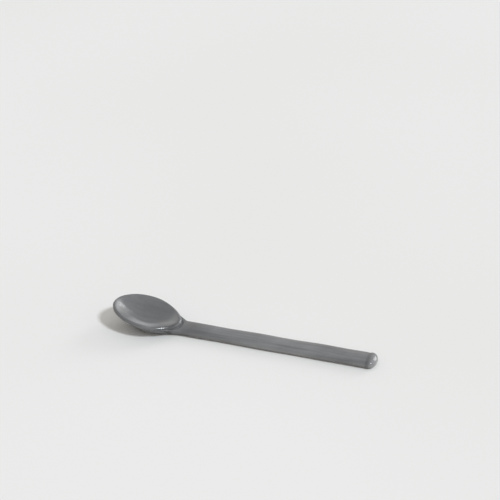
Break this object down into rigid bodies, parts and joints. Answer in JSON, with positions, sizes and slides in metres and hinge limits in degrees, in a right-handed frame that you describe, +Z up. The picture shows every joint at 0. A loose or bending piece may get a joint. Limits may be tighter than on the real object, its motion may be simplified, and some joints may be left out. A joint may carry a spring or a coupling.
{
  "type": "teaspoon",
  "caption": "Hand-made ceramic teaspoon with a shallow oval bowl, a flat straight handle and a grey glaze that stops at a bare foot.",
  "frame": {"origin": "on the table under the middle of the spoon's length and width", "axes": "+X from the bowl's tip towards the handle's end, +Z up out of the dish"},
  "size_m": [0.14, 0.0282, 0.0119],
  "materials": {
    "bare_clay": "matte unglazed",
    "joining_slip": "matte unglazed",
    "grey_glaze": "glossy grey glaze"
  },
  "bodies": {
    "root": {"bowl": "bare_clay", "handle": "bare_clay", "slip_joint": "joining_slip", "glaze_coat": "grey_glaze"}
  },
  "joints": []
}
